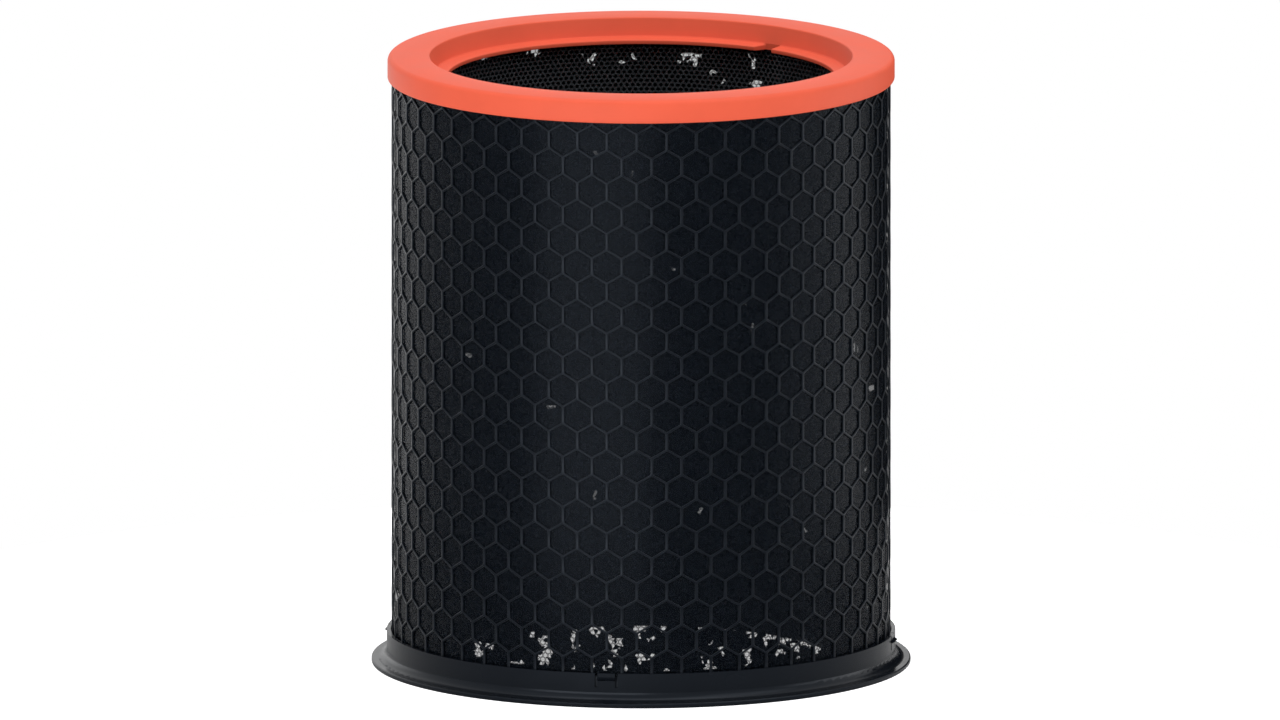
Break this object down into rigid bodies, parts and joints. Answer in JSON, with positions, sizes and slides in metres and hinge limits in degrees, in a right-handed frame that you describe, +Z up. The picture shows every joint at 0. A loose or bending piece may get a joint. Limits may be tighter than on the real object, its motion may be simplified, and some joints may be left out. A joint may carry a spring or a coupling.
{
  "type": "air purifier filter",
  "caption": "Drum of activated carbon granules in a honeycomb cage, open at both ends, with a soft seal ring on top and a flanged snap-in base.",
  "frame": {"origin": "middle of the base flange's underside, on the drum's axis", "axes": "+Z up along the drum's axis, -Y the front with one snap tab just left of it, +X to the right"},
  "size_m": [0.2192, 0.2192, 0.25],
  "materials": {
    "base_plastic": "matte moulded",
    "glue": "hot-melt glue",
    "mesh_plastic": "fine moulded mesh",
    "carbon": "activated carbon granules",
    "cloth": "fine woven mesh",
    "cage_plastic": "satin moulded",
    "seal": "soft moulded"
  },
  "bodies": {
    "root": {"base_ring": "base_plastic", "bottom_glue_bead": "glue", "inner_mesh_tube": "mesh_plastic", "carbon_bed": "carbon", "outer_cloth": "cloth", "honeycomb_cage": "cage_plastic", "top_glue_bead": "glue", "seal_ring": "seal"}
  },
  "joints": []
}
